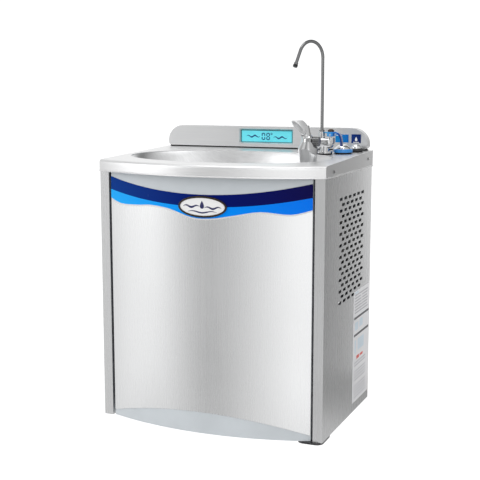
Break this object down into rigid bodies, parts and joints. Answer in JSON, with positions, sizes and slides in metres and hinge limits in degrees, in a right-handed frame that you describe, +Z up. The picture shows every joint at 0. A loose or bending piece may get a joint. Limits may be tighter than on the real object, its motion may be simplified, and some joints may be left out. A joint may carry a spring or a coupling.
{
  "type": "wall-mounted drinking fountain",
  "caption": "Wall-mounted chilled drinking fountain: bowed stainless cabinet, oval bowl, bubbler, gooseneck filler, deck buttons and a hinged front door.",
  "frame": {"origin": "centre of the four wall holes, on the cabinet's back face", "axes": "+X to the right seen from the front, +Y towards the wall, +Z up"},
  "size_m": [0.4632, 0.3665, 0.7793],
  "materials": {
    "brushed_panel": "brushed",
    "top_steel": "satin",
    "bowl_steel": "polished",
    "galvanised": "spangled",
    "grey_paint": "satin",
    "navy_film": "gloss",
    "azure_film": "gloss",
    "badge_plastic": "gloss",
    "bronze_plastic": "gloss",
    "display_film": "clear",
    "circuit_board": "matte",
    "label_paper": "coated",
    "chrome": "polished",
    "black_rubber": "matte",
    "brass_nut": "machined",
    "blue_plastic": "gloss",
    "black_plastic": "matte",
    "white_plastic": "satin",
    "black_enamel": "gloss",
    "copper_fins": "dull",
    "tank_jacket": "foamed",
    "tube_plastic": "translucent",
    "zinc": "plated",
    "nylon": "satin"
  },
  "bodies": {
    "cabinet": {"back_panel": "galvanised", "bottom_pan": "galvanised", "left_side_panel": "brushed_panel", "right_side_panel": "brushed_panel", "top_deck": "top_steel", "basin_bowl": "bowl_steel", "drain_strainer": "chrome", "drain_tailpiece": "chrome", "drain_nut": "white_plastic", "waste_pipe": "white_plastic", "backsplash": "top_steel", "display_lens": "display_film", "display_board": "circuit_board", "splash_labels": "blue_plastic", "side_label": "label_paper", "lip_screws": "chrome", "lower_hinge": "black_enamel", "upper_hinge": "black_enamel", "post_seal": "black_rubber", "door_catch": "black_plastic", "bubbler_body": "chrome", "mouth_guard": "chrome", "deck_gaskets": "black_rubber", "deck_nuts": "brass_nut", "faucet_body": "chrome", "lever_pin": "chrome", "main_button_bezel": "blue_plastic", "side_button_bezel": "black_plastic", "compressor": "black_enamel", "compressor_feet": "black_rubber", "condenser": "copper_fins", "fan_bracket": "galvanised", "fan_motor": "black_enamel", "cold_tank": "tank_jacket", "tank_shelf": "galvanised", "filter_head": "white_plastic", "filter_cartridge": "white_plastic", "water_tubes": "tube_plastic", "inlet_valve": "brass_nut", "control_box": "zinc", "power_inlet": "black_plastic", "solenoid_valve": "white_plastic"},
    "door": {"door_shell": "grey_paint", "door_skin": "brushed_panel", "stripe_dark": "navy_film", "stripe_light": "azure_film", "badge_bezel": "bronze_plastic", "badge_face": "badge_plastic", "hinge_bushes": "nylon", "door_stiffeners": "galvanised", "catch_strike": "zinc"},
    "bubbler_push": {"bubbler_button": "black_plastic"},
    "main_push": {"main_button_cap": "chrome"},
    "side_push": {"side_button_cap": "chrome"},
    "lever": {"faucet_lever": "blue_plastic", "faucet_cap": "bronze_plastic"},
    "spout": {"gooseneck": "chrome"},
    "fan": {"fan_rotor": "black_plastic"},
    "inlet_turn": {"inlet_handle": "blue_plastic"},
    "dial": {"thermostat_knob": "black_plastic"}
  },
  "joints": [
    {"name": "door_hinge", "type": "hinge", "parent": "cabinet", "child": "door", "pos_m": [0.1925, -0.301, -0.087], "axis": [0, 0, 1], "range_deg": [0, 90]},
    {"name": "bubbler_button_slide", "type": "slide", "parent": "cabinet", "child": "bubbler_push", "axis": [-1, 0, 0], "range_m": [0, 0.004], "stiffness_N_per_m": 900, "springref_m": -0.002},
    {"name": "main_button_slide", "type": "slide", "parent": "cabinet", "child": "main_push", "axis": [0, 0, -1], "range_m": [0, 0.003], "stiffness_N_per_m": 1500, "springref_m": -0.002},
    {"name": "side_button_slide", "type": "slide", "parent": "cabinet", "child": "side_push", "axis": [0, 0, -1], "range_m": [0, 0.0025], "stiffness_N_per_m": 1200, "springref_m": -0.002},
    {"name": "lever_hinge", "type": "hinge", "parent": "cabinet", "child": "lever", "pos_m": [0.173, -0.105, 0.22601], "axis": [0, 1, 0], "range_deg": [0, 15], "stiffness_Nm_per_rad": 0.5, "springref_deg": -8.59},
    {"name": "spout_swivel", "type": "hinge", "parent": "cabinet", "child": "spout", "pos_m": [0.1545, -0.105, 0.22701], "axis": [0, 0, 1], "range_deg": [-60, 60]},
    {"name": "fan_spin", "type": "hinge", "parent": "cabinet", "child": "fan", "pos_m": [0.1283, -0.15, -0.208], "axis": [1, 0, 0], "continuous": true},
    {"name": "inlet_handle_turn", "type": "hinge", "parent": "cabinet", "child": "inlet_turn", "pos_m": [0.06, -0.055, -0.304], "axis": [0, -1, 0], "range_deg": [0, 90]},
    {"name": "thermostat_turn", "type": "hinge", "parent": "cabinet", "child": "dial", "pos_m": [0.172, -0.055, 0.002], "axis": [0, -1, 0], "range_deg": [0, 270]}
  ]
}
